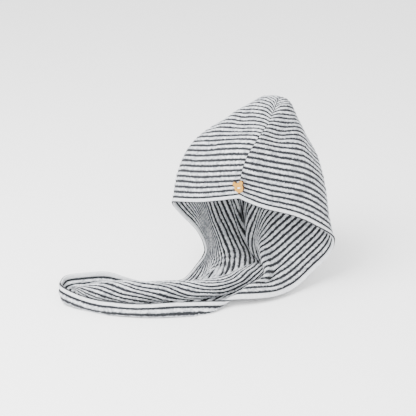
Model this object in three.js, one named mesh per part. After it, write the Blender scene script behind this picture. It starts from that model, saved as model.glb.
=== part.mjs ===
// Hair turban towel: a striped fleece hood that stands on its folded neck, with the tail lying in front.
// Two mirror-image panels are sewn along one curve, which is the front seam, the spine and the keel of
// the tail. The open side is bound by a hem, and a wooden button sits at the foot of the front seam.
import * as THREE from 'three';

// Sizes in millimetres. X runs to the right of the wearer's view, Y to the back, Z up.
const hoodWidth = 240; // between the left and right corners of the mouth
const hoodDepth = 217; // from the front of the tail to the back of the hood
const hoodHeight = 288; // from the floor to the peak
const tailLength = 272; // from under the button to the tip of the tail
const tailWidth = 92; // from the near hem to the far hem
const rollHeight = 33; // top of the twisted roll that lies in the tail
const fleeceThickness = 3;
const hemWidth = 7;
const hemThickness = 4.4;
const pieceGap = 0.3;
const foldDepth = 9; // deepest fold pressed into the cloth
const seatSag = 1; // how far the cloth settles where it lies on the floor
const buttonDiameter = 15.4;
const buttonThickness = 3.4;
const earDiameter = 6.4;
const buttonRise = 23; // from the hem up the front seam to the middle of the button
const buttonShift = 3.5; // from the front seam to the middle of the button, to the right
const holeDiameter = 2;
const holeSpacing = 5;
const buttonTurn = 38; // degrees that the button faces to the left
const buttonLean = 6; // degrees that the button faces upwards
const buttonRoll = 22; // degrees that the button is turned in its own plane

// Steps of the mesh along the hem and from the hem to the spine
const stepsAlong = 60;
const stepsAcross = 15;

// Sections of the hood, one row each: share of the hem's length from the button to the tip of the tail,
// then leftRim, leftLow, leftHigh, spine, rightHigh, rightLow and rightRim.
// Each point is x, y, z as shares of hoodWidth, hoodDepth and hoodHeight.
const hoodSections = [
  [0, [-0.013, 0.194, 0.604], [0.017, 0.157, 0.819], [0.163, 0.415, 0.948], [0.229, 0.691, 0.99],
    [0.163, 0.415, 0.948], [0.017, 0.157, 0.819], [-0.013, 0.194, 0.604]],
  [0.064, [-0.158, 0.29, 0.556], [-0.125, 0.286, 0.781], [0.017, 0.488, 0.934], [0.25, 0.779, 0.983],
    [0.279, 0.447, 0.906], [0.192, 0.203, 0.753], [0.154, 0.198, 0.545]],
  [0.134, [-0.292, 0.406, 0.507], [-0.254, 0.433, 0.726], [-0.083, 0.608, 0.896], [0.25, 0.871, 0.944],
    [0.362, 0.53, 0.872], [0.371, 0.29, 0.681], [0.329, 0.253, 0.483]],
  [0.211, [-0.408, 0.535, 0.465], [-0.358, 0.59, 0.67], [-0.171, 0.724, 0.833], [0.208, 0.94, 0.858],
    [0.412, 0.613, 0.802], [0.496, 0.415, 0.594], [0.496, 0.341, 0.382]],
  [0.284, [-0.412, 0.659, 0.389], [-0.358, 0.737, 0.583], [-0.192, 0.843, 0.747], [0.142, 0.968, 0.722],
    [0.412, 0.728, 0.705], [0.529, 0.562, 0.49], [0.596, 0.465, 0.271]],
  [0.343, [-0.342, 0.7, 0.306], [-0.317, 0.82, 0.472], [-0.167, 0.945, 0.611], [0.083, 1, 0.556],
    [0.275, 0.816, 0.542], [0.475, 0.618, 0.358], [0.575, 0.479, 0.174]],
  [0.401, [-0.271, 0.719, 0.229], [-0.25, 0.857, 0.361], [-0.108, 0.986, 0.444], [0.042, 1, 0.389],
    [0.188, 0.737, 0.368], [0.379, 0.567, 0.233], [0.471, 0.419, 0.101]],
  [0.466, [-0.217, 0.691, 0.122], [-0.175, 0.853, 0.208], [-0.05, 0.959, 0.243], [0.05, 0.968, 0.181],
    [0.15, 0.659, 0.226], [0.287, 0.456, 0.118], [0.358, 0.336, 0.042]],
  [0.51, [-0.246, 0.636, 0.083], [-0.158, 0.76, 0.097], [0, 0.853, 0.111], [0.096, 0.876, 0.049],
    [0.15, 0.59, 0.153], [0.212, 0.378, 0.09], [0.25, 0.253, 0.031]],
  [0.561, [-0.308, 0.553, 0.049], [-0.188, 0.645, 0.042], [0.037, 0.585, 0.101], [0.188, 0.645, 0.01],
    [0.25, 0.498, 0.024], [0.125, 0.286, 0.101], [0.121, 0.189, 0.038]],
];

// Sections of the tail in the same columns, as shares of tailLength, tailWidth and rollHeight
const tailSections = [
  [0.62, [-0.324, 1.13, 0.273], [-0.228, 1.217, 0.152], [-0.029, 0.957, 1], [0.044, 0.978, 0.061],
    [0.018, 0.696, 0.212], [-0.015, 0.446, 0.545], [-0.022, 0.348, 0.424]],
  [0.685, [-0.412, 1.043, 0.273], [-0.349, 1, 0.121], [-0.202, 0.63, 1], [-0.162, 0.478, 0.061],
    [-0.147, 0.304, 0.061], [-0.162, 0.152, 0.182], [-0.169, 0.228, 0.545]],
  [0.758, [-0.551, 1, 0.364], [-0.496, 0.913, 0.121], [-0.412, 0.565, 1], [-0.36, 0.348, 0.091],
    [-0.342, 0.174, 0.061], [-0.346, 0.011, 0.242], [-0.349, 0.141, 0.606]],
  [0.831, [-0.68, 0.957, 0.758], [-0.654, 0.87, 0.242], [-0.588, 0.587, 0.97], [-0.544, 0.348, 0.121],
    [-0.526, 0.174, 0.061], [-0.526, -0.022, 0.242], [-0.522, 0.109, 0.576]],
  [0.897, [-0.783, 0.978, 0.879], [-0.772, 0.891, 0.303], [-0.746, 0.652, 0.818], [-0.717, 0.413, 0.152],
    [-0.699, 0.261, 0.061], [-0.706, 0.054, 0.212], [-0.699, 0.185, 0.545]],
  [0.948, [-0.904, 0.946, 0.848], [-0.893, 0.859, 0.364], [-0.868, 0.717, 0.424], [-0.838, 0.565, 0.152],
    [-0.842, 0.402, 0.061], [-0.86, 0.217, 0.242], [-0.849, 0.315, 0.636]],
  [0.984, [-0.982, 0.826, 0.818], [-0.978, 0.804, 0.394], [-0.949, 0.728, 0.152], [-0.919, 0.63, 0.091],
    [-0.949, 0.533, 0.091], [-0.985, 0.467, 0.333], [-0.974, 0.543, 0.788]],
  [1, [-0.996, 0.674, 0.788], [-1, 0.652, 0.394], [-0.978, 0.63, 0.091], [-0.949, 0.62, 0.061],
    [-0.978, 0.63, 0.091], [-1, 0.652, 0.394], [-0.996, 0.674, 0.788]],
];

// Folds pressed into the panels: side, share along, share across, reach along, reach across, height as
// a share of foldDepth towards the inside, and how much the fold leans (share across per share along)
const folds = [
  ['right', 0.05, 0.86, 0.055, 0.12, -0.67, 0],
  ['right', 0.05, 0.55, 0.035, 0.12, 0.55, 0],
  ['left', 0.08, 0.86, 0.08, 0.16, -0.6, 0],
  ['left', 0.13, 0.66, 0.03, 0.1, -0.33, 0],
  ['left', 0.07, 0.6, 0.03, 0.09, 0.33, 0],
  ['right', 0.43, 0.9, 0.05, 0.08, 0.4, 0],
  ['right', 0.51, 0.45, 0.05, 0.13, 0.55, -0.6],
  ['right', 0.5, 0.2, 0.05, 0.1, -0.33, -0.4],
  ['left', 0.44, 0.88, 0.05, 0.09, 0.4, 0.2],
  ['left', 0.42, 0.7, 0.1, 0.08, 0.33, 0.5],
  ['left', 0.46, 0.5, 0.07, 0.09, 0.55, 0.5],
  ['left', 0.56, 0.3, 0.06, 0.1, 0.4, 0.6],
];

const sections = [
  ...hoodSections.map((row) => scaledSection(row, hoodWidth, hoodDepth, hoodHeight)),
  ...tailSections.map((row) => scaledSection(row, tailLength, tailWidth, rollHeight)),
];

function scaledSection([at, ...points], sizeX, sizeY, sizeZ) {
  return { at, points: points.map(([x, y, z]) => new THREE.Vector3(x * sizeX, y * sizeY, z * sizeZ)) };
}

// Natural cubic spline through points at the given knots
function splineThrough(knots, points) {
  const last = knots.length - 1;
  const bend = points.map(() => new THREE.Vector3());
  const ratio = new Array(last + 1).fill(0);
  const part = points.map(() => new THREE.Vector3());
  for (let i = 1; i < last; i++) {
    const before = knots[i] - knots[i - 1];
    const after = knots[i + 1] - knots[i];
    const pivot = 2 * (before + after) - before * ratio[i - 1];
    ratio[i] = after / pivot;
    const rise = points[i + 1].clone().sub(points[i]).divideScalar(after);
    const fall = points[i].clone().sub(points[i - 1]).divideScalar(before);
    part[i] = rise.sub(fall).multiplyScalar(6).addScaledVector(part[i - 1], -before).divideScalar(pivot);
  }
  for (let i = last - 1; i > 0; i--) bend[i] = part[i].clone().addScaledVector(bend[i + 1], -ratio[i]);
  return (at) => {
    let i = 0;
    while (i < last - 1 && at >= knots[i + 1]) i++;
    const span = knots[i + 1] - knots[i];
    const a = (knots[i + 1] - at) / span;
    const b = 1 - a;
    return new THREE.Vector3()
      .addScaledVector(points[i], a)
      .addScaledVector(points[i + 1], b)
      .addScaledVector(bend[i], ((a ** 3 - a) * span * span) / 6)
      .addScaledVector(bend[i + 1], ((b ** 3 - b) * span * span) / 6);
  };
}

const guides = sections[0].points.map((_, column) =>
  splineThrough(sections.map((row) => row.at), sections.map((row) => row.points[column])));

// The cloth of one side at one station, measured in millimetres from the rim to the spine
function clothLine(side, at) {
  const points = guides.map((guide) => guide(at));
  if (side === 'right') points.reverse();
  const knots = [0];
  for (let i = 1; i < points.length; i++) {
    knots.push(knots[i - 1] + Math.sqrt(Math.max(points[i].distanceTo(points[i - 1]), 0.001)));
  }
  const curve = splineThrough(knots, points);
  const samples = [];
  const lengths = [0];
  for (let i = 0; i <= 120; i++) {
    samples.push(curve((knots[3] * i) / 120));
    if (i) lengths.push(lengths[i - 1] + samples[i].distanceTo(samples[i - 1]));
  }
  const total = lengths[120];
  const pointAt = (distance) => {
    let i = 1;
    while (i < 120 && lengths[i] < distance) i++;
    const share = (distance - lengths[i - 1]) / (lengths[i] - lengths[i - 1]);
    return samples[i - 1].clone().lerp(samples[i], share);
  };
  return { total, pointAt };
}

// Cloth lies flat where it meets the floor
function settled(point) {
  const rest = fleeceThickness / 2;
  const above = point.z - rest - seatSag;
  point.z = above <= 0 ? rest : point.z - seatSag * Math.exp(-above / (8 * seatSag));
  return point;
}

// Grid of points on the middle of the cloth: column 0 is the rim, column 1 the inner edge of the hem
// and the last column the spine
function clothGrid(side) {
  const grid = [];
  for (let i = 0; i <= stepsAlong; i++) {
    const at = i / stepsAlong;
    const line = clothLine(side, at);
    const start = hemWidth + pieceGap / 2;
    const row = [settled(line.pointAt(0))];
    for (let j = 0; j <= stepsAcross; j++) {
      row.push(settled(line.pointAt(start + ((line.total - start) * j) / stepsAcross)));
    }
    grid.push(row);
  }
  return grid;
}

function gridNormals(grid, side) {
  const sign = side === 'left' ? -1 : 1;
  return grid.map((row, i) => row.map((_, j) => {
    const along = grid[Math.min(i + 1, stepsAlong)][j].clone().sub(grid[Math.max(i - 1, 0)][j]);
    const across = row[Math.min(j + 1, stepsAcross + 1)].clone().sub(row[Math.max(j - 1, 0)]);
    return along.cross(across).normalize().multiplyScalar(sign);
  }));
}

function pressFolds(grid, normals, side) {
  return grid.map((row, i) => row.map((point, j) => {
    const at = i / stepsAlong;
    const across = Math.max(j - 1, 0) / stepsAcross;
    let push = 0;
    for (const [foldSide, foldAt, foldAcross, reachAlong, reachAcross, height, lean] of folds) {
      if (foldSide !== side) continue;
      const u = (at - foldAt) / reachAlong;
      const v = (across - foldAcross - lean * (at - foldAt)) / reachAcross;
      push += foldDepth * height * Math.exp(-u * u - v * v);
    }
    push *= Math.min(1, 4 * across) * Math.min(1, 8 * (1 - across)) * Math.min(1, 50 * at);
    return settled(point.clone().addScaledVector(normals[i][j], -push));
  }));
}

const cloth = {};
for (const side of ['left', 'right']) {
  const flat = clothGrid(side);
  const grid = pressFolds(flat, gridNormals(flat, side), side);
  cloth[side] = { grid, normals: gridNormals(grid, side) };
}

// The two seams run on into each other at the peak, so the normal there is taken from its neighbours.
// Along the seams both sides share one normal, stretched so that the two walls meet on a mitre
const seamColumn = stepsAcross + 1;
const stretch = { left: new Map(), right: new Map() };
function mitre(i, j) {
  const shared = cloth.left.normals[i][j].clone().add(cloth.right.normals[i][j]).normalize();
  const half = Math.max(0.8, shared.dot(cloth.left.normals[i][j]));
  for (const side of ['left', 'right']) {
    cloth[side].normals[i][j] = shared.clone();
    stretch[side].set(i * 1000 + j, 1 / half);
  }
}
for (const side of ['left', 'right']) {
  const { normals } = cloth[side];
  normals[0][seamColumn] = normals[0][seamColumn - 1].clone().add(normals[1][seamColumn]).normalize();
}
for (let i = 0; i <= stepsAlong; i++) mitre(i, seamColumn);
for (let j = 0; j < seamColumn; j++) {
  mitre(0, j);
  mitre(stepsAlong, j);
}

// Step away from an edge that leaves a gap to the next piece
function inwards(edge, inner) {
  return inner.clone().sub(edge).setLength(pieceGap * 1.1);
}

// Wall of one panel: outer and inner skin and the four edges between them
function panelGeometry(side) {
  const { grid, normals } = cloth[side];
  const width = stepsAcross + 1;
  const skins = [1, -1].map((face) => {
    const skin = [];
    for (let i = 0; i <= stepsAlong; i++) {
      for (let j = 1; j <= seamColumn; j++) {
        const inset = new THREE.Vector3();
        if (i === 0 || i === stepsAlong) inset.add(inwards(grid[i][j], grid[i ? i - 1 : 1][j]));
        if (j === 1 || j === seamColumn) inset.add(inwards(grid[i][j], grid[i][j === 1 ? 2 : j - 1]));
        const reach = (face * fleeceThickness * (stretch[side].get(i * 1000 + j) ?? 1)) / 2;
        const point = grid[i][j].clone().add(inset).addScaledVector(normals[i][j], reach);
        if (point.z < 0.25) point.z = 0;
        skin.push(point);
      }
    }
    return skin;
  });
  const points = skins.flat();
  const inner = (stepsAlong + 1) * width;
  const index = [];
  const quad = (a, b, c, d) => index.push(a, b, c, a, c, d);
  for (let i = 0; i < stepsAlong; i++) {
    for (let j = 0; j < width - 1; j++) {
      const a = i * width + j;
      quad(a, a + width, a + width + 1, a + 1);
      quad(inner + a, inner + a + 1, inner + a + width + 1, inner + a + width);
    }
  }
  const edge = (a, b) => quad(a, b, b + inner, a + inner);
  for (let i = 0; i < stepsAlong; i++) {
    edge((i + 1) * width, i * width);
    edge(i * width + width - 1, (i + 1) * width + width - 1);
  }
  for (let j = 0; j < width - 1; j++) {
    edge(j, j + 1);
    edge(stepsAlong * width + j + 1, stepsAlong * width + j);
  }
  return solid(points, index, side === 'left');
}

// Closed band along the whole rim: share of the width and share of the thickness of each corner
const hemProfile = [
  [0, 0.24], [0.2, 0.5], [0.8, 0.5], [1, 0.3], [1, -0.3], [0.8, -0.5], [0.2, -0.5], [0, -0.24],
];
function hemGeometry() {
  const stations = [];
  for (let i = 0; i <= stepsAlong; i++) stations.push(['left', i]);
  for (let i = stepsAlong - 1; i > 0; i--) stations.push(['right', i]);
  const points = [];
  for (const [side, i] of stations) {
    const rim = cloth[side].grid[i][0];
    const edge = cloth[side].grid[i][1];
    const across = edge.clone().sub(rim);
    const [rimNormal, edgeNormal] = cloth[side].normals[i];
    for (const [share, height] of hemProfile) {
      const normal = rimNormal.clone().lerp(edgeNormal, share).normalize();
      const reach = share * (across.length() - pieceGap / 2);
      const point = rim.clone().addScaledVector(across, reach / across.length());
      point.addScaledVector(normal, height * hemThickness);
      if (point.z < 0.25) point.z = 0;
      points.push(point);
    }
  }
  const around = hemProfile.length;
  const index = [];
  stations.forEach((_, i) => {
    const next = (i + 1) % stations.length;
    for (let k = 0; k < around; k++) {
      const l = (k + 1) % around;
      index.push(i * around + k, next * around + k, next * around + l);
      index.push(i * around + k, next * around + l, i * around + l);
    }
  });
  return solid(points, index, true);
}

function solid(points, index, flip) {
  const geometry = new THREE.BufferGeometry();
  const middle = new THREE.Vector3(seat.x, seat.y, 0);
  geometry.setAttribute('position', new THREE.Float32BufferAttribute(
    points.flatMap((point) => point.clone().sub(middle).toArray()), 3));
  if (flip) for (let i = 0; i < index.length; i += 3) [index[i], index[i + 1]] = [index[i + 1], index[i]];
  geometry.setIndex(index);
  geometry.computeVertexNormals();
  return geometry;
}

// The origin is on the floor under the root of the tail
const seat = { x: -0.0817 * hoodWidth, y: 0.6 * tailWidth };

// Wooden button: a round head with two ears, cut from one sheet, with two holes for the thread
function buttonGeometry() {
  const head = buttonDiameter / 2;
  const ear = earDiameter / 2;
  const earReach = head * 1.18;
  const outline = new THREE.Shape();
  const count = 96;
  for (let k = 0; k < count; k++) {
    const angle = (2 * Math.PI * k) / count;
    let radius = head;
    for (const earAngle of [Math.PI * 0.27, Math.PI * 0.73]) {
      const off = angle - earAngle;
      const side = earReach * Math.sin(off);
      if (Math.cos(off) > 0 && Math.abs(side) < ear) {
        radius = Math.max(radius, earReach * Math.cos(off) + Math.sqrt(ear * ear - side * side));
      }
    }
    const x = radius * Math.cos(angle);
    const y = radius * Math.sin(angle) * 0.95;
    if (k) outline.lineTo(x, y);
    else outline.moveTo(x, y);
  }
  outline.closePath();
  for (const side of [-1, 1]) {
    const hole = new THREE.Path();
    hole.absarc((side * holeSpacing) / 2, 0, holeDiameter / 2, 0, 2 * Math.PI, true);
    outline.holes.push(hole);
  }
  const geometry = new THREE.ExtrudeGeometry(outline, {
    depth: buttonThickness, bevelEnabled: false, curveSegments: 8,
  });
  const turn = THREE.MathUtils.degToRad(buttonTurn);
  const lean = THREE.MathUtils.degToRad(buttonLean);
  const facing = new THREE.Vector3(
    -Math.sin(turn) * Math.cos(lean), -Math.cos(turn) * Math.cos(lean), Math.sin(lean));
  const right = new THREE.Vector3(0, 0, 1).cross(facing).normalize();
  const up = facing.clone().cross(right);
  const base = clothLine('left', 0).pointAt(buttonRise).addScaledVector(right, buttonShift);
  let standOff = 0;
  for (const side of ['left', 'right']) {
    const { grid, normals } = cloth[side];
    const skin = (i, j) => grid[i][j].clone().addScaledVector(
      normals[i][j], ((j ? fleeceThickness : hemThickness) / 2) * (stretch[side].get(i * 1000 + j) ?? 1));
    for (let i = 0; i < 3; i += 0.25) {
      for (let j = 0; j < 5; j += 0.125) {
        const [row, column] = [Math.floor(i), Math.floor(j)];
        const lower = skin(row, column).lerp(skin(row + 1, column), i - row);
        const upper = skin(row, column + 1).lerp(skin(row + 1, column + 1), i - row);
        const outer = lower.lerp(upper, j - column).sub(base);
        if (outer.length() < buttonDiameter * 0.72) standOff = Math.max(standOff, outer.dot(facing));
      }
    }
  }
  geometry.rotateZ(THREE.MathUtils.degToRad(buttonRoll));
  const place = new THREE.Matrix4().makeBasis(right, up, facing);
  place.setPosition(base.clone().addScaledVector(facing, standOff + pieceGap)
    .sub(new THREE.Vector3(seat.x, seat.y, 0)));
  geometry.applyMatrix4(place);
  return geometry;
}

const fleece = new THREE.MeshStandardMaterial({ color: 0xe6e8ec, roughness: 0.95 });
const hemFleece = new THREE.MeshStandardMaterial({ color: 0xf3f4f6, roughness: 0.95 });
const wood = new THREE.MeshStandardMaterial({ color: 0xdcae78, roughness: 0.6 });

const part = new THREE.Group();
part.name = 'hair_turban_towel';
const pieces = [
  ['left_panel', panelGeometry('left'), fleece],
  ['right_panel', panelGeometry('right'), fleece],
  ['hem_band', hemGeometry(), hemFleece],
  ['button', buttonGeometry(), wood],
];
for (const [name, geometry, material] of pieces) {
  const mesh = new THREE.Mesh(geometry, material);
  mesh.name = name;
  part.add(mesh);
}

export default part;
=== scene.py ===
import math

import bpy
import numpy as np
from mathutils import Matrix, Vector


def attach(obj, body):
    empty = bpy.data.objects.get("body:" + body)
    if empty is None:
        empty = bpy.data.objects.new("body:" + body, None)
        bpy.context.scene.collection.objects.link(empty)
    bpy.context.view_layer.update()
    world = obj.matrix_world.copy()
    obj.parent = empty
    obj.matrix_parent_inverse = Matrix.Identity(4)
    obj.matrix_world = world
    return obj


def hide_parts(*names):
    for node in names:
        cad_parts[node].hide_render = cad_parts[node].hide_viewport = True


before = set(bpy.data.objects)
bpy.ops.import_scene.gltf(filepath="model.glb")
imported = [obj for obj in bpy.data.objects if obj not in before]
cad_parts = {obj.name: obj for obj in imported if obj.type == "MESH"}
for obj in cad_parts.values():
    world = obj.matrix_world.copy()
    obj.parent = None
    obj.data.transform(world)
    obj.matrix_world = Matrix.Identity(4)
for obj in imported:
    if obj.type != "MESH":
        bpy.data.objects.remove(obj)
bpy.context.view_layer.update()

# The view: the towel stands on a pale table and is seen from the front, 25 degrees above it.
# The lens and the point looked at put the mouth, the peak and the tip of the tail where they lie in the
# picture.
SEAT_X, SEAT_Y = -19.6, 55.2
look_at = Vector(((-48 - SEAT_X) / 1000, (100 - SEAT_Y) / 1000, 0.132))
view_height = math.radians(25)
view_distance = 1.6
camera_data = bpy.data.cameras.new("front_view")
camera_data.lens = 92.31
camera = bpy.data.objects.new("front_view", camera_data)
bpy.context.scene.collection.objects.link(camera)
camera.matrix_world = Matrix.Translation(
    look_at + view_distance * Vector((0, -math.cos(view_height), math.sin(view_height)))
) @ Matrix.Rotation(math.pi / 2 - view_height, 4, "X")
bpy.context.scene.camera = camera


# The cloth: two panels of striped coral fleece, 3 mm thick, mirror images in the flat, sewn along one
# curve that is the front seam, the spine and the keel of the tail. The towel holds its shape by the
# stiffness of the pile: the hood stands on its gathered neck and the tail lies in front of it.
HOOD = np.array((240, 217, 288))
TAIL = np.array((272, 92, 33))
# One row per section: share of the hem's length, then leftRim, leftLow, leftHigh, spine, rightHigh,
# rightLow and rightRim, each x, y, z as shares of the hood's width, depth and height
HOOD_SECTIONS = (
    (0, (-0.013, 0.194, 0.604), (0.017, 0.157, 0.819), (0.163, 0.415, 0.948), (0.229, 0.691, 0.99),
     (0.163, 0.415, 0.948), (0.017, 0.157, 0.819), (-0.013, 0.194, 0.604)),
    (0.064, (-0.158, 0.29, 0.556), (-0.125, 0.286, 0.781), (0.017, 0.488, 0.934), (0.25, 0.779, 0.983),
     (0.279, 0.447, 0.906), (0.192, 0.203, 0.753), (0.154, 0.198, 0.545)),
    (0.134, (-0.292, 0.406, 0.507), (-0.254, 0.433, 0.726), (-0.083, 0.608, 0.896), (0.25, 0.871, 0.944),
     (0.362, 0.53, 0.872), (0.371, 0.29, 0.681), (0.329, 0.253, 0.483)),
    (0.211, (-0.408, 0.535, 0.465), (-0.358, 0.59, 0.67), (-0.171, 0.724, 0.833), (0.208, 0.94, 0.858),
     (0.412, 0.613, 0.802), (0.496, 0.415, 0.594), (0.496, 0.341, 0.382)),
    (0.284, (-0.412, 0.659, 0.389), (-0.358, 0.737, 0.583), (-0.192, 0.843, 0.747), (0.142, 0.968, 0.722),
     (0.412, 0.728, 0.705), (0.529, 0.562, 0.49), (0.596, 0.465, 0.271)),
    (0.343, (-0.342, 0.7, 0.306), (-0.317, 0.82, 0.472), (-0.167, 0.945, 0.611), (0.083, 1, 0.556),
     (0.275, 0.816, 0.542), (0.475, 0.618, 0.358), (0.575, 0.479, 0.174)),
    (0.401, (-0.271, 0.719, 0.229), (-0.25, 0.857, 0.361), (-0.108, 0.986, 0.444), (0.042, 1, 0.389),
     (0.188, 0.737, 0.368), (0.379, 0.567, 0.233), (0.471, 0.419, 0.101)),
    (0.466, (-0.217, 0.691, 0.122), (-0.175, 0.853, 0.208), (-0.05, 0.959, 0.243), (0.05, 0.968, 0.181),
     (0.15, 0.659, 0.226), (0.287, 0.456, 0.118), (0.358, 0.336, 0.042)),
    (0.51, (-0.246, 0.636, 0.083), (-0.158, 0.76, 0.097), (0, 0.853, 0.111), (0.096, 0.876, 0.049),
     (0.15, 0.59, 0.153), (0.212, 0.378, 0.09), (0.25, 0.253, 0.031)),
    (0.561, (-0.308, 0.553, 0.049), (-0.188, 0.645, 0.042), (0.037, 0.585, 0.101), (0.188, 0.645, 0.01),
     (0.25, 0.498, 0.024), (0.125, 0.286, 0.101), (0.121, 0.189, 0.038)),
)
# The same columns, as shares of the tail's length, width and height
TAIL_SECTIONS = (
    (0.62, (-0.324, 1.13, 0.273), (-0.228, 1.217, 0.152), (-0.029, 1, 0.485), (0.044, 0.978, 0.061),
     (0.018, 0.696, 0.212), (-0.015, 0.446, 0.545), (-0.022, 0.348, 0.424)),
    (0.685, (-0.412, 1.043, 0.273), (-0.349, 1, 0.121), (-0.202, 0.652, 0.303), (-0.162, 0.478, 0.061),
     (-0.147, 0.304, 0.061), (-0.162, 0.152, 0.182), (-0.169, 0.228, 0.545)),
    (0.758, (-0.551, 1, 0.364), (-0.496, 0.913, 0.121), (-0.412, 0.587, 0.303), (-0.36, 0.348, 0.091),
     (-0.342, 0.174, 0.061), (-0.346, 0.011, 0.242), (-0.349, 0.141, 0.606)),
    (0.831, (-0.68, 0.957, 0.758), (-0.654, 0.87, 0.242), (-0.588, 0.609, 0.303), (-0.544, 0.348, 0.121),
     (-0.526, 0.174, 0.061), (-0.526, -0.022, 0.242), (-0.522, 0.109, 0.576)),
    (0.897, (-0.783, 0.978, 0.879), (-0.772, 0.891, 0.303), (-0.746, 0.674, 0.273), (-0.717, 0.413, 0.152),
     (-0.699, 0.261, 0.061), (-0.706, 0.054, 0.212), (-0.699, 0.185, 0.545)),
    (0.948, (-0.904, 0.946, 0.848), (-0.893, 0.859, 0.364), (-0.868, 0.717, 0.424), (-0.838, 0.565, 0.152),
     (-0.842, 0.402, 0.061), (-0.86, 0.217, 0.242), (-0.849, 0.315, 0.636)),
    (0.984, (-0.982, 0.826, 0.818), (-0.978, 0.804, 0.394), (-0.949, 0.728, 0.152), (-0.919, 0.63, 0.091),
     (-0.949, 0.533, 0.091), (-0.985, 0.467, 0.333), (-0.974, 0.543, 0.788)),
    (1, (-0.996, 0.674, 0.788), (-1, 0.652, 0.394), (-0.978, 0.63, 0.091), (-0.949, 0.62, 0.061),
     (-0.978, 0.63, 0.091), (-1, 0.652, 0.394), (-0.996, 0.674, 0.788)),
)
THICKNESS, HEM_WIDTH, HEM_THICKNESS = 3.0, 7.0, 4.4
SEAT_SAG = 1.0


def spline_bends(knots, points):
    """Second derivatives of the natural cubic spline through points (..., n, 3) at knots (..., n)."""
    n = knots.shape[-1]
    span = np.diff(knots, axis=-1)
    matrix = np.zeros(knots.shape + (n,))
    right = np.zeros(points.shape)
    matrix[..., 0, 0] = matrix[..., -1, -1] = 1
    inner = np.arange(1, n - 1)
    matrix[..., inner, inner - 1] = span[..., :-1]
    matrix[..., inner, inner] = 2 * (span[..., :-1] + span[..., 1:])
    matrix[..., inner, inner + 1] = span[..., 1:]
    slope = np.diff(points, axis=-2) / span[..., None]
    right[..., 1:-1, :] = 6 * np.diff(slope, axis=-2)
    return np.linalg.solve(matrix, right)


def spline_at(knots, points, bends, where):
    """The spline's points at the parameters where, one list of parameters for each list of knots."""
    i = (where[..., None] >= knots[..., None, 1:-1]).sum(-1)
    take = lambda values, k: np.take_along_axis(values, k, -1)
    low, high = take(knots, i), take(knots, i + 1)
    span = high - low
    a = ((high - where) / span)[..., None]
    b = 1 - a
    pick = lambda values, k: np.take_along_axis(values, k[..., None], -2)
    curve = a * pick(points, i) + b * pick(points, i + 1)
    bend = (a**3 - a) * pick(bends, i) + (b**3 - b) * pick(bends, i + 1)
    return curve + bend * (span**2)[..., None] / 6


def section_table():
    """All sections in millimetres: shares of the hem's length (n,) and points (n, 7, 3)."""
    hood = [(row[0], np.array(row[1:]) * HOOD) for row in HOOD_SECTIONS]
    tail = [(row[0], np.array(row[1:]) * TAIL) for row in TAIL_SECTIONS]
    rows = hood + tail
    return np.array([row[0] for row in rows], float), np.array([row[1] for row in rows])


def settled(points):
    """Cloth lies flat where it meets the table: heights under the sag become half the thickness."""
    above = points[..., 2] - THICKNESS / 2 - SEAT_SAG
    soft = points[..., 2] - SEAT_SAG * np.exp(-np.maximum(above, 0) / 8)
    points[..., 2] = np.where(above <= 0, THICKNESS / 2, soft)
    return points


def cloth_grid(side, along, across):
    """Middle of one panel: along (n,) are shares of the hem, across (m,) shares from rim to spine.

    Returns the points (n, m, 3), the cloth's width at each station and the share of the width at which
    the row "low" of the table lies."""
    at, rows = section_table()
    count = rows.shape[1]
    lines = rows.transpose(1, 0, 2)
    knots = np.broadcast_to(at, (count, len(at)))
    guides = spline_at(knots, lines, spline_bends(knots, lines), np.broadcast_to(along, (count, len(along))))
    points = guides.transpose(1, 0, 2)
    if side == "right":
        points = points[:, ::-1]
    step = np.sqrt(np.maximum(np.linalg.norm(np.diff(points, axis=1), axis=-1), 0.001))
    knots = np.concatenate((np.zeros((len(along), 1)), np.cumsum(step, axis=1)), axis=1)
    fine = np.linspace(0, 1, 241) * knots[:, 3:4]
    curve = spline_at(knots, points, spline_bends(knots, points), fine)
    piece = np.linalg.norm(np.diff(curve, axis=1), axis=-1)
    length = np.concatenate((np.zeros((len(along), 1)), np.cumsum(piece, axis=1)), axis=1)
    width = length[:, -1]
    low = np.array([np.interp(k[1], f, l) for k, f, l in zip(knots, fine, length)]) / width
    grid = np.empty((len(along), len(across), 3))
    for n, (line, lengths) in enumerate(zip(curve, length)):
        for axis in range(3):
            grid[n, :, axis] = np.interp(across * lengths[-1], lengths, line[:, axis])
    return settled(grid), width, low


def outward(grid, side):
    """Unit normals of a grid (n, m, 3) that point out of the hood."""
    normal = np.cross(np.gradient(grid, axis=0), np.gradient(grid, axis=1))
    normal /= np.maximum(np.linalg.norm(normal, axis=-1, keepdims=True), 1e-9)
    return -normal if side == "left" else normal


# Folds pressed into the panels: side, share along, share across, reach along, reach across, height in
# millimetres to the inside, and lean, which is share across per share along
FOLDS = (
    ("right", 0.05, 0.86, 0.055, 0.12, -6, 0),
    ("right", 0.05, 0.55, 0.035, 0.12, 5, 0),
    ("left", 0.08, 0.86, 0.08, 0.16, -5.4, 0),
    ("left", 0.13, 0.66, 0.03, 0.1, -3, 0),
    ("left", 0.07, 0.6, 0.03, 0.09, 3, 0),
    ("right", 0.45, 0.93, 0.07, 0.045, 6, 0),
    ("right", 0.46, 0.8, 0.09, 0.05, 12, -0.2),
    ("right", 0.515, 0.42, 0.045, 0.1, 7, -1.2),
    ("right", 0.51, 0.2, 0.05, 0.05, -9, -1),
    ("left", 0.47, 0.88, 0.06, 0.06, 11, 0.2),
    ("left", 0.42, 0.7, 0.1, 0.08, 3, 0.5),
    ("left", 0.46, 0.5, 0.07, 0.06, 5, 0.7),
    ("left", 0.56, 0.3, 0.06, 0.05, 4, 1.2),
)
# Puckers where the neck of the hood is gathered over the roll: middle, reach and waves per share
PUCKER_AT, PUCKER_REACH, PUCKER_WAVES, PUCKER_HEIGHT = (0.595, 0.5), (0.05, 0.2), (-46, 20), 2.2


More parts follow.
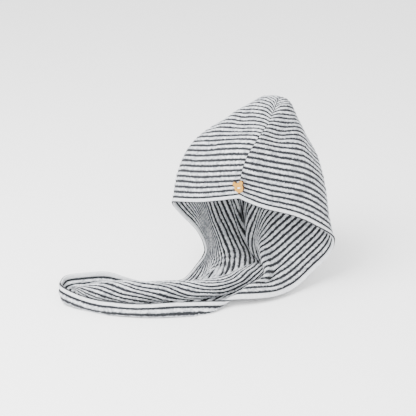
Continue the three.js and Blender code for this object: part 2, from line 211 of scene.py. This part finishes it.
def fold_push(side, along, across):
    """Sum of the folds, each a bell in both directions, that fade at the hem and at the spine."""
    push = 0 * along
    for fold_side, at, middle, reach_along, reach_across, height, lean in FOLDS:
        if fold_side == side:
            u = (along - at) / reach_along
            v = (across - middle - lean * (along - at)) / reach_across
            push = push + height * np.exp(-u * u - v * v)
    if side == "left":
        u, v = along - PUCKER_AT[0], across - PUCKER_AT[1]
        window = np.exp(-((u / PUCKER_REACH[0]) ** 2) - (v / PUCKER_REACH[1]) ** 2)
        push = push + PUCKER_HEIGHT * window * np.sin(2 * np.pi * (PUCKER_WAVES[0] * u + PUCKER_WAVES[1] * v))
    return push * np.clip(4 * across, 0, 1) * np.clip(8 * (1 - across), 0, 1) * np.clip(along / 0.02, 0, 1)


# Stripes run with the hem: charcoal yarn in narrow sunken rows, white pile in puffy ribs between them
STRIPE_PITCH, STRIPE_WIDTH, RIB_RISE = 8.2, 3.5, 0.9
FIRST_STRIPE = HEM_WIDTH + 1.6
# Width of the cut panel at shares of the hem's length. Where the cloth's path is shorter than that, the
# rest is gathered, and part of it draws the stripes closer together
CUT = ((0, 206), (0.15, 231), (0.3, 238), (0.43, 230), (0.57, 205), (0.7, 150), (0.85, 100), (1, 31))
GATHERED_SHOWN = 0.5
# Cloth eased in at the peak, in millimetres, and how far along the hem's length it reaches
PEAK_EASE, PEAK_EASE_REACH = 10, 0.022


def smooth(low, high, value):
    """Smooth step from 0 at low to 1 at high."""
    x = np.clip((value - low) / (high - low), 0, 1)
    return x * x * (3 - 2 * x)


def stripe_distance(side, along, across, width, low):
    """Distance from the hem over the cloth in millimetres, with the gathered cloth counted in."""
    slack = np.maximum(np.interp(along[:, 0], *zip(*CUT)) - width, 0)
    slack = np.convolve(np.pad(slack, 8, mode="edge"), np.ones(17) / 17, "valid")[:, None]
    in_tail = smooth(0.5, 0.63, along)
    if side == "left":
        start = 0.04 + (low[:, None] - 0.04) * in_tail
        end = 0.5 + (low[:, None] + 0.1 - 0.5) * in_tail
        gathered = smooth(start, end, across)
        eased = PEAK_EASE * np.exp(-along / PEAK_EASE_REACH) * smooth(0.55, 0.95, across)
        gathered = gathered * slack * GATHERED_SHOWN + eased
    else:
        gathered = smooth(0.5, 0.98, across) * slack * GATHERED_SHOWN
        gathered = gathered + STRIPE_PITCH / 2 * np.exp(-along / 0.05) * smooth(0.06, 0.2, across)
    return across * width[:, None] + gathered


def rib_rise(distance):
    """Height of the pile over the stripes: a rounded rib between two sunken rows."""
    phase = ((distance - FIRST_STRIPE) / STRIPE_PITCH) % 1
    half = STRIPE_WIDTH / STRIPE_PITCH / 2
    off = np.minimum(phase, 1 - phase)
    rib = np.sqrt(np.clip((off - half * 0.6) / (0.5 - half * 0.6), 0, 1))
    return RIB_RISE * (2 * rib - 1)


def soft_noise(points, size, seed):
    """Smooth waves of about the given size in millimetres, from a few seeded plane waves."""
    rng = np.random.default_rng(seed)
    total = 0
    for _ in range(10):
        direction = rng.normal(size=3)
        direction *= 2 * np.pi / (size * rng.uniform(0.7, 1.6)) / np.linalg.norm(direction)
        total = total + np.sin(points @ direction + rng.uniform(0, 6.28))
    return total / 4


def to_mesh(name, points, quads, uv=None):
    """New object from points in millimetres, shifted so that the seat of the towel is the origin, with
    one place on the cloth for each corner of each quad."""
    mesh = bpy.data.meshes.new(name)
    metres = (points - np.array((SEAT_X, SEAT_Y, 0))) / 1000
    mesh.vertices.add(len(points))
    mesh.vertices.foreach_set("co", metres.astype(np.float32).ravel())
    mesh.loops.add(quads.size)
    mesh.loops.foreach_set("vertex_index", quads.astype(np.int32).ravel())
    mesh.polygons.add(len(quads))
    mesh.polygons.foreach_set("loop_start", np.arange(len(quads), dtype=np.int32) * quads.shape[1])
    mesh.polygons.foreach_set("use_smooth", np.ones(len(quads), dtype=bool))
    if uv is not None:
        layer = mesh.uv_layers.new(name="cloth")
        layer.data.foreach_set("uv", uv.astype(np.float32).ravel())
    mesh.update(calc_edges=True)
    mesh.validate()
    piece = bpy.data.objects.new(name, mesh)
    bpy.context.scene.collection.objects.link(piece)
    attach(piece, "root")
    return piece


def grid_quads(rows, columns, start=0, flip=False):
    """Quads of a grid of points stored row by row."""
    corner = start + np.arange(rows - 1)[:, None] * columns + np.arange(columns - 1)[None, :]
    quads = np.stack((corner, corner + columns, corner + columns + 1, corner + 1), -1).reshape(-1, 4)
    return quads[:, ::-1] if flip else quads


HEM_LINE = 686
ALONG_STEPS, ACROSS_STEPS = 250, 136
along = np.linspace(0, 1, ALONG_STEPS + 1)
panels = {}
for side in ("left", "right"):
    across = np.linspace(0, 1, ACROSS_STEPS + 1)
    flat, width, low = cloth_grid(side, along, across)
    push = fold_push(side, along[:, None] + 0 * across, across + 0 * along[:, None])
    middle = flat - outward(flat, side) * push[..., None]
    # Soft hand-made unevenness, broad and fine
    uneven = soft_noise(middle, 60, 3) * 0.9 + soft_noise(middle, 22, 5) * 0.35
    middle += outward(middle, side) * uneven[..., None]
    middle = settled(middle)
    panels[side] = dict(middle=middle, width=width, low=low, normal=outward(middle, side))
# At the peak the two seams run on into each other, so the normal there comes from its neighbours
for side in ("left", "right"):
    normal = panels[side]["normal"]
    normal[0, -4:] = normal[0, -5]
    normal[:4, -1] = normal[4, -1]


def mitre(edge):
    """Both panels share one normal along a seam, stretched so that their walls meet."""
    left, right = panels["left"]["normal"][edge], panels["right"]["normal"][edge]
    shared = left + right
    shared /= np.linalg.norm(shared, axis=-1, keepdims=True)
    stretch = 1 / np.maximum(0.8, (shared * left).sum(-1, keepdims=True))
    for side in ("left", "right"):
        panels[side]["normal"][edge] = shared * stretch


for edge in (np.s_[:, -1], np.s_[0, :-1], np.s_[-1, :-1]):
    mitre(edge)

for side in ("left", "right"):
    panel = panels[side]
    middle, normal, width = panel["middle"], panel["normal"], panel["width"]
    across = np.linspace(0, 1, ACROSS_STEPS + 1)
    # The panel itself starts under the hem's inner edge
    start = (HEM_WIDTH / width)[:, None]
    share = start + (1 - start) * across
    columns = share * ACROSS_STEPS
    base = np.minimum(columns.astype(int), ACROSS_STEPS - 1)
    part = (columns - base)[..., None]
    rows = np.arange(ALONG_STEPS + 1)[:, None]
    middle = middle[rows, base] * (1 - part) + middle[rows, base + 1] * part
    normal = normal[rows, base] * (1 - part) + normal[rows, base + 1] * part
    distance = stripe_distance(side, along[:, None] + 0 * share, share, width, panel["low"])
    rise = rib_rise(distance)
    seam_distance = np.minimum((1 - share) * width[:, None], (along * HEM_LINE)[:, None])
    sink = 1.2 * np.exp(-((seam_distance / 1.6) ** 2)) + 1.2 * np.exp(-((seam_distance / 6) ** 2))
    outer = middle + normal * (THICKNESS / 2 + rise - sink)[..., None]
    inner = middle - normal * (THICKNESS / 2 + rise - sink * 0.6)[..., None]
    outer[..., 2] = np.maximum(outer[..., 2], 0.0)
    inner[..., 2] = np.maximum(inner[..., 2], 0.8)
    points = np.concatenate((outer.reshape(-1, 3), inner.reshape(-1, 3)))
    size = (ALONG_STEPS + 1) * (ACROSS_STEPS + 1)
    flip = side == "right"
    quads = [
        grid_quads(ALONG_STEPS + 1, ACROSS_STEPS + 1, 0, not flip),
        grid_quads(ALONG_STEPS + 1, ACROSS_STEPS + 1, size, flip),
    ]
    border = np.concatenate((
        np.arange(ACROSS_STEPS + 1),
        np.arange(1, ALONG_STEPS + 1) * (ACROSS_STEPS + 1) + ACROSS_STEPS,
        ALONG_STEPS * (ACROSS_STEPS + 1) + np.arange(ACROSS_STEPS - 1, -1, -1),
        np.arange(ALONG_STEPS - 1, 0, -1) * (ACROSS_STEPS + 1),
    ))
    after = np.roll(border, -1)
    rim = np.stack((border, after, after + size, border + size), -1)
    quads.append(rim if flip else rim[:, ::-1])
    uv = np.stack((along[:, None] * (HEM_LINE / 1000) + 0 * share, distance / 1000), -1).reshape(-1, 2)
    quads = np.concatenate(quads)
    panel["parts"] = [(points, quads, np.concatenate((uv, uv))[quads.ravel()])]

# The twisted roll of the left panel that lies in the trough of the tail. The real one is the panel's own
# fleece in several loose turns; here it is one closed tube on the panel, in the same piece.
# Columns: x, y, z of its middle line and its radius, from the tip to the bulb under the gathered neck
ROLL = np.array((
    (-263, 79, 9, 0.6), (-254, 74, 9, 3.2), (-242, 67, 10, 6.8), (-226, 55, 14, 11.5), (-210, 49, 17, 14.4),
    (-192, 46, 19, 15.9), (-165, 44, 19, 16.3),
    (-135, 45, 19, 15.6), (-105, 49, 18, 14.9), (-75, 52, 17, 14.4), (-48, 58, 17, 13.9), (-27, 69, 16, 13.1),
    (-8, 79, 18, 12.8), (9, 89, 22, 13.8), (23, 99, 23, 13.6), (33, 108, 22, 10.2), (40, 114, 19, 3.1),
    (41, 114, 19, 0.3),
))
ROLL_STEPS, ROLL_AROUND, ROLL_MEAN_RADIUS = 220, 108, 14.5
# How far a stripe travels round the roll, in millimetres per millimetre of the roll's length, and how
# much closer than on flat cloth the stripes lie
ROLL_TWIST, ROLL_CROWDING = 0.3, 1.3

place = np.concatenate(((0,), np.cumsum(np.linalg.norm(np.diff(ROLL[:, :3], axis=0), axis=1))))
at = np.linspace(0, 1, ROLL_STEPS + 1) * place[-1]
middle = spline_at(place, ROLL[:, :3], spline_bends(place, ROLL[:, :3]), at)
radius = np.interp(at, place, ROLL[:, 3])
radius = np.convolve(np.pad(radius, 6, mode="reflect", reflect_type="odd"), np.ones(13) / 13, "valid")
radius = np.maximum(radius, 0.2)
forward = np.gradient(middle, axis=0)
forward /= np.linalg.norm(forward, axis=1, keepdims=True)
side_way = np.cross(forward, (0, 0, 1))
side_way /= np.linalg.norm(side_way, axis=1, keepdims=True)
up_way = np.cross(side_way, forward)
turn = np.linspace(0, 2 * np.pi, ROLL_AROUND + 1)
# Turn 0 is the far side, and the stripe's place grows over the top towards the near side. The stripes
# slant one way along the tail and the other way on the bulb
slant = np.interp(
    at, (0, 0.1 * place[-1], 0.68 * place[-1], 0.85 * place[-1], place[-1]), (0.5, 1, 1, -0.9, -1.8)
)
travel = np.cumsum(slant) * (at[1] - at[0]) * ROLL_TWIST
around_distance = turn[None, :] * ROLL_MEAN_RADIUS * ROLL_CROWDING - travel[:, None] * ROLL_CROWDING
around_distance += (
    1.2 * np.sin(at[:, None] / 17 + 2 * turn[None, :]) + 0.8 * np.sin(at[:, None] / 7.3 - turn[None, :] * 3)
)
lobes = 0.9 * np.sin(2 * np.pi * around_distance / (STRIPE_PITCH * 3.0)) * np.clip(radius / 12, 0, 1)[:, None]
ribs = rib_rise(around_distance + FIRST_STRIPE) * 1.3 * np.clip(radius / 6, 0.05, 1)[:, None]
reach = radius[:, None] + lobes + ribs
roll = middle[:, None] + reach[..., None] * (
    -side_way[:, None] * np.cos(turn)[None, :, None] + up_way[:, None] * np.sin(turn)[None, :, None]
)
roll += soft_noise(roll, 14, 21)[..., None] * up_way[:, None] * 0.3
roll[..., 2] = np.maximum(roll[..., 2], 1.2)
roll_uv = np.stack((at[:, None] / 1000 + 0 * reach, (around_distance + FIRST_STRIPE) / 1000), -1)
# The tube closes on itself, and each end is drawn together
corners = grid_quads(ROLL_STEPS + 1, ROLL_AROUND + 1, flip=True)
roll_uv = roll_uv.reshape(-1, 2)[corners.ravel()]
quads = corners // (ROLL_AROUND + 1) * ROLL_AROUND + corners % (ROLL_AROUND + 1) % ROLL_AROUND
k = np.arange(ROLL_AROUND // 2 - 1)
end = np.stack((k, k + 1, ROLL_AROUND - 2 - k, ROLL_AROUND - 1 - k), -1)
quads = np.concatenate((quads, end[:, ::-1], end + ROLL_STEPS * ROLL_AROUND))
roll_uv = np.concatenate((roll_uv, np.zeros((8 * len(k), 2))))
panels["left"]["parts"].append((roll[:, :-1].reshape(-1, 3), quads, roll_uv))

for side in ("left", "right"):
    parts = panels[side]["parts"]
    starts = np.cumsum([0] + [len(part[0]) for part in parts])
    piece = to_mesh(
        side + "_fleece",
        np.concatenate([part[0] for part in parts]),
        np.concatenate([part[1] + start for part, start in zip(parts, starts)]),
        np.concatenate([part[2] for part in parts]),
    )
    panels[side]["piece"] = piece
    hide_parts(side + "_panel")


class Socket:
    """A node output that can be written in sums and products."""

    def __init__(self, material, output):
        self.material, self.output = material, output

    def _maths(self, operation, other=None, swap=False):
        values = [self] if other is None else [other, self] if swap else [self, other]
        return self.material.node("ShaderNodeMath", {"operation": operation}, dict(enumerate(values)))[0]

    def __add__(self, other): return self._maths("ADD", other)
    def __sub__(self, other): return self._maths("SUBTRACT", other)
    def __mul__(self, other): return self._maths("MULTIPLY", other)
    def __radd__(self, other): return self._maths("ADD", other, True)
    def __rsub__(self, other): return self._maths("SUBTRACT", other, True)
    def __rmul__(self, other): return self._maths("MULTIPLY", other, True)
    def wrapped(self): return self._maths("FRACT")
    def size(self): return self._maths("ABSOLUTE")


class Finish:
    """A material and its shader, with one method that adds any other node."""

    def __init__(self, name, **settings):
        self.data = bpy.data.materials.new(name)
        self.data.use_nodes = True
        self.tree = self.data.node_tree
        self.shader = self.tree.nodes["Principled BSDF"]
        for key, value in settings.items():
            self.shader.inputs[key.replace("_", " ")].default_value = value

    def node(self, kind, settings, values):
        node = self.tree.nodes.new(kind)
        for key, value in settings.items():
            setattr(node, key, value)
        for key, value in values.items():
            if isinstance(value, Socket):
                self.tree.links.new(value.output, node.inputs[key])
            else:
                node.inputs[key].default_value = value
        return [Socket(self, output) for output in node.outputs]

    def feed(self, name, socket):
        self.tree.links.new(socket.output, self.shader.inputs[name])

    def noise(self, scale, place, detail=2.0, rough=0.5):
        values = {"Scale": scale, "Detail": detail, "Roughness": rough, "Vector": place}
        return self.node("ShaderNodeTexNoise", {}, values)[0]

    def blend(self, share, first, second):
        return self.node("ShaderNodeMix", {"data_type": "RGBA"}, {0: share, 6: first, 7: second})[2]

    def bump(self, strength, distance, height):
        values = {"Strength": strength, "Distance": distance, "Height": height}
        self.feed("Normal", self.node("ShaderNodeBump", {}, values)[0])


def steps(low, high, value):
    """Smooth step of a socket from 0 at low to 1 at high."""
    values = {0: value, 1: low, 2: high, 3: 0.0, 4: 1.0}
    return value.material.node("ShaderNodeMapRange", {"interpolation_type": "SMOOTHSTEP"}, values)[0]


# Fleece is matt, with a faint sheen
SOFT = dict(Roughness=0.95, Sheen_Weight=0.06, Sheen_Roughness=0.6, Specular_IOR_Level=0.05)
fleece = Finish("striped_fleece", **SOFT)
place = fleece.node("ShaderNodeTexCoord", {}, {})[3]
lie = fleece.node("ShaderNodeUVMap", {"uv_map": "cloth"}, {})[0]
across_cloth = fleece.node("ShaderNodeSeparateXYZ", {}, {0: lie})[1]
ragged = (fleece.noise(320, place, 3, 0.6) - 0.5) * 0.0034 + (fleece.noise(60, place, 2) - 0.5) * 0.0012
phase = ((across_cloth + ragged - FIRST_STRIPE / 1000) * (1000 / STRIPE_PITCH)).wrapped()
off_stripe = (phase - 0.5).size()
half = 0.5 - STRIPE_WIDTH / STRIPE_PITCH / 2
dark = steps(half - 0.09, half + 0.05, off_stripe)
pile = fleece.noise(900, place, 2, 0.6)
tufts = steps(0.3, 0.7, fleece.noise(230, place, 3, 0.6) * 0.7 + fleece.noise(70, place, 2) * 0.3)
white = fleece.blend(tufts, (0.24, 0.255, 0.28, 1), (0.76, 0.775, 0.80, 1))
charcoal = fleece.blend(pile, (0.003, 0.0035, 0.0045, 1), (0.034, 0.036, 0.041, 1))
shadow = steps(0.14, half, off_stripe) * 0.55
white = fleece.blend(shadow, white, (0.22, 0.23, 0.25, 1))
fleece.feed("Base Color", fleece.blend(dark, white, charcoal))
fleece.bump(0.9, 0.0016, tufts * 0.7 + pile * 0.5 - dark * 0.5)
for side in ("left", "right"):
    panels[side]["piece"].data.materials.append(fleece.data)


# The hem: the edge of the fleece turned over twice and stitched, white, round the whole mouth of hood
# and tail in one closed band.
HEM_AROUND = 24


def hem_points():
    """Rounded band along both rims: a superellipse of the hem's width and thickness at each station."""
    stations = []
    for side, order in (("left", np.arange(ALONG_STEPS + 1)), ("right", np.arange(ALONG_STEPS - 1, 0, -1))):
        panel = panels[side]
        share = HEM_WIDTH / panel["width"]
        column = share * ACROSS_STEPS
        base = column.astype(int)
        part = (column - base)[:, None]
        rows = np.arange(ALONG_STEPS + 1)
        edge = panel["middle"][rows, base] * (1 - part) + panel["middle"][rows, base + 1] * part
        normal = panel["normal"]
        rim = panel["middle"][:, 0]
        stations.append((rim[order], edge[order], normal[:, 0][order], normal[rows, base][order]))
    rim, edge, normal, edge_normal = (np.concatenate(parts) for parts in zip(*stations))
    turn = np.linspace(0, 2 * np.pi, HEM_AROUND + 1)[:-1]
    wide = 0.5 - 0.5 * np.sign(np.cos(turn)) * np.abs(np.cos(turn)) ** 0.7
    high = 0.5 * np.sign(np.sin(turn)) * np.abs(np.sin(turn)) ** 0.75
    lean = normal[:, None] * (1 - wide[:, None]) + edge_normal[:, None] * wide[:, None]
    lean /= np.linalg.norm(lean, axis=-1, keepdims=True)
    # The band laps a little over the edge of the panel
    points = rim[:, None] + (edge - rim)[:, None] * (wide * 1.04)[:, None]
    points = points + lean * (high * HEM_THICKNESS)[:, None]
    points += lean * (soft_noise(points, 9, 11) * 0.16)[..., None]
    points[..., 2] = np.maximum(points[..., 2], 0.3)
    return points


band = hem_points()
stations, around = band.shape[:2]
first = np.arange(stations)[:, None] * around + np.arange(around)
second = np.arange(stations)[:, None] * around + (np.arange(around) + 1) % around
quads = np.stack((first, second, np.roll(second, -1, axis=0), np.roll(first, -1, axis=0)), -1).reshape(-1, 4)
corner = np.array((0, 1, 1, 0))
uv = np.stack(np.broadcast_arrays(
    np.arange(stations)[:, None, None] * 0.0023, (np.arange(around)[:, None] + corner) / around), -1)
hem = to_mesh("hem", band.reshape(-1, 3), quads, uv.reshape(-1, 2))
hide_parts("hem_band")
# Each panel is cut in a curve from a piece of fleece 240 by 690 mm
hem_white = Finish("hem_fleece", **SOFT)
place = hem_white.node("ShaderNodeTexCoord", {}, {})[3]
tufts = hem_white.noise(300, place, 3, 0.6)
lie = hem_white.node("ShaderNodeUVMap", {"uv_map": "cloth"}, {})[0]
turned = hem_white.node("ShaderNodeSeparateXYZ", {}, {0: lie})[1]
white = hem_white.blend(tufts, (0.40, 0.415, 0.44, 1), (0.78, 0.79, 0.81, 1))
# A charcoal row painted at the free edge of the band: partly the fleece's own stripe where the cloth is
# turned over, partly painted shade for the shadow line under the hem
ragged = (hem_white.noise(320, place, 3) - 0.5) * 0.05
row = 1 - steps(0.08, 0.13, ((turned + ragged + 0.4).wrapped() - 0.5).size())
hem_white.feed("Base Color", hem_white.blend(row, white, (0.012, 0.013, 0.016, 1)))
hem_white.bump(0.9, 0.0014, tufts + hem_white.noise(900, place) * 0.5)
hem.data.materials.append(hem_white.data)


# The button: a two-eared head cut by laser from light plywood, with a scorched edge, sewn on through
# two holes at the foot of the front seam.
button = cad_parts["button"]
# The face looks to the left and a little up, and what turns away from it is the scorched edge. Angles in
# degrees, then the spacing of the holes in millimetres and the half height of the head in metres
BUTTON_TURN, BUTTON_LEAN, BUTTON_ROLL, HOLE_SPACING = math.radians(38), math.radians(6), math.radians(22), 5
BUTTON_HEAD = 0.0077 * 0.95
facing = Vector((-math.sin(BUTTON_TURN) * math.cos(BUTTON_LEAN),
                 -math.cos(BUTTON_TURN) * math.cos(BUTTON_LEAN), math.sin(BUTTON_LEAN)))
wood = Finish("button_wood", Roughness=0.6, Specular_IOR_Level=0.25)
place = wood.node("ShaderNodeTexCoord", {}, {})[3]
grain = wood.noise(160, wood.node("ShaderNodeMapping", {}, {0: place, 3: (1, 1, 7)})[0], 4, 0.6)
face = wood.blend(grain, (0.30, 0.13, 0.012, 1), (0.46, 0.24, 0.035, 1))
true_normal = wood.node("ShaderNodeNewGeometry", {}, {})[3]
flatness = wood.node("ShaderNodeVectorMath", {"operation": "DOT_PRODUCT"}, {0: true_normal, 1: facing})[1]
wood.feed("Base Color", wood.blend(steps(0.6, 0.9, flatness), (0.035, 0.014, 0.005, 1), face))
for button_slot in button.material_slots:
    button_slot.material = wood.data

# The thread: two strands of white yarn that hold the button to the front seam. They lie on its face from
# hole to hole and dip into the holes at their ends.
STRAND_STEPS, STRAND_AROUND, STRAND_RADIUS, STRAND_SHIFT = 25, 12, 0.00042, 0.00045
corners = np.array([tuple(button.matrix_world @ vertex.co) for vertex in button.data.vertices])
sideways = Vector((0, 0, 1)).cross(facing).normalized()
upwards = facing.cross(sideways)
over_holes = math.cos(BUTTON_ROLL) * sideways + math.sin(BUTTON_ROLL) * upwards
beside = facing.cross(over_holes)
frame_axes = np.array((over_holes, beside, facing))
local = corners @ frame_axes.T
depth = local[:, 2].max()
# The head's middle lies halfway between its two sides, and its own half height above its lowest point
centre = ((local[:, 0].min() + local[:, 0].max()) / 2, local[:, 1].min() + BUTTON_HEAD)
strand_points, strand_quads = [], []
for number, shift in enumerate((-STRAND_SHIFT, STRAND_SHIFT)):
    run = np.linspace(-1, 1, STRAND_STEPS)
    middle = np.stack((centre[0] + run * HOLE_SPACING / 2000, centre[1] + shift + 0 * run,
                       depth + 0.0004 - 0.0016 * np.clip(np.abs(run) - 0.7, 0, 1) / 0.3), -1)
    turn = np.linspace(0, 2 * np.pi, STRAND_AROUND + 1)[:-1]
    ring = np.stack((0 * turn, np.cos(turn), np.sin(turn)), -1) * STRAND_RADIUS
    strand = (middle[:, None] + ring[None]) @ frame_axes
    strand_points.append(strand.reshape(-1, 3) * 1000 + np.array((SEAT_X, SEAT_Y, 0)))
    start = number * STRAND_STEPS * STRAND_AROUND
    around = np.arange(STRAND_AROUND)
    ring_start = start + np.arange(STRAND_STEPS - 1)[:, None] * STRAND_AROUND
    first, second = ring_start + around, ring_start + (around + 1) % STRAND_AROUND
    tube = np.stack((first, second, second + STRAND_AROUND, first + STRAND_AROUND), -1).reshape(-1, 4)
    k = np.arange(STRAND_AROUND // 2 - 1)
    end = start + np.stack((k, k + 1, STRAND_AROUND - 2 - k, STRAND_AROUND - 1 - k), -1)
    strand_quads += [tube, end[:, ::-1], end + (STRAND_STEPS - 1) * STRAND_AROUND]
thread = to_mesh("button_thread", np.concatenate(strand_points), np.concatenate(strand_quads))
cotton = Finish("white_thread", Roughness=0.9, Base_Color=(0.8, 0.8, 0.78, 1))
thread.data.materials.append(cotton.data)


# The table and the light: a plain pale floor under soft light from the upper left and front.
floor_mesh = bpy.data.meshes.new("floor")
floor_mesh.from_pydata([(-3, -3, 0), (3, -3, 0), (3, 3, 0), (-3, 3, 0)], [], [(0, 1, 2, 3)])
floor = bpy.data.objects.new("floor", floor_mesh)
bpy.context.scene.collection.objects.link(floor)
pale = Finish("pale_floor", Roughness=0.9)
pale.shader.inputs["Base Color"].default_value = (1, 1, 1, 1)
floor.data.materials.append(pale.data)

world = bpy.data.worlds.new("studio")
bpy.context.scene.world = world
world.use_nodes = True
world.node_tree.nodes["Background"].inputs["Color"].default_value = (1, 1, 1, 1)
world.node_tree.nodes["Background"].inputs["Strength"].default_value = 2.0
for name, spot, aim, size, power in (
    ("key", (-0.9, -0.7, 1.6), (0, 0.05, 0.12), 1.2, 105),
    ("front", (0.5, -1.6, 0.9), (0, 0.05, 0.1), 1.6, 22),
):
    data = bpy.data.lights.new(name, "AREA")
    data.size, data.energy = size, power
    light = bpy.data.objects.new(name, data)
    towards = (Vector(aim) - Vector(spot)).to_track_quat("-Z", "Y")
    light.matrix_world = Matrix.Translation(spot) @ towards.to_matrix().to_4x4()
    bpy.context.scene.collection.objects.link(light)
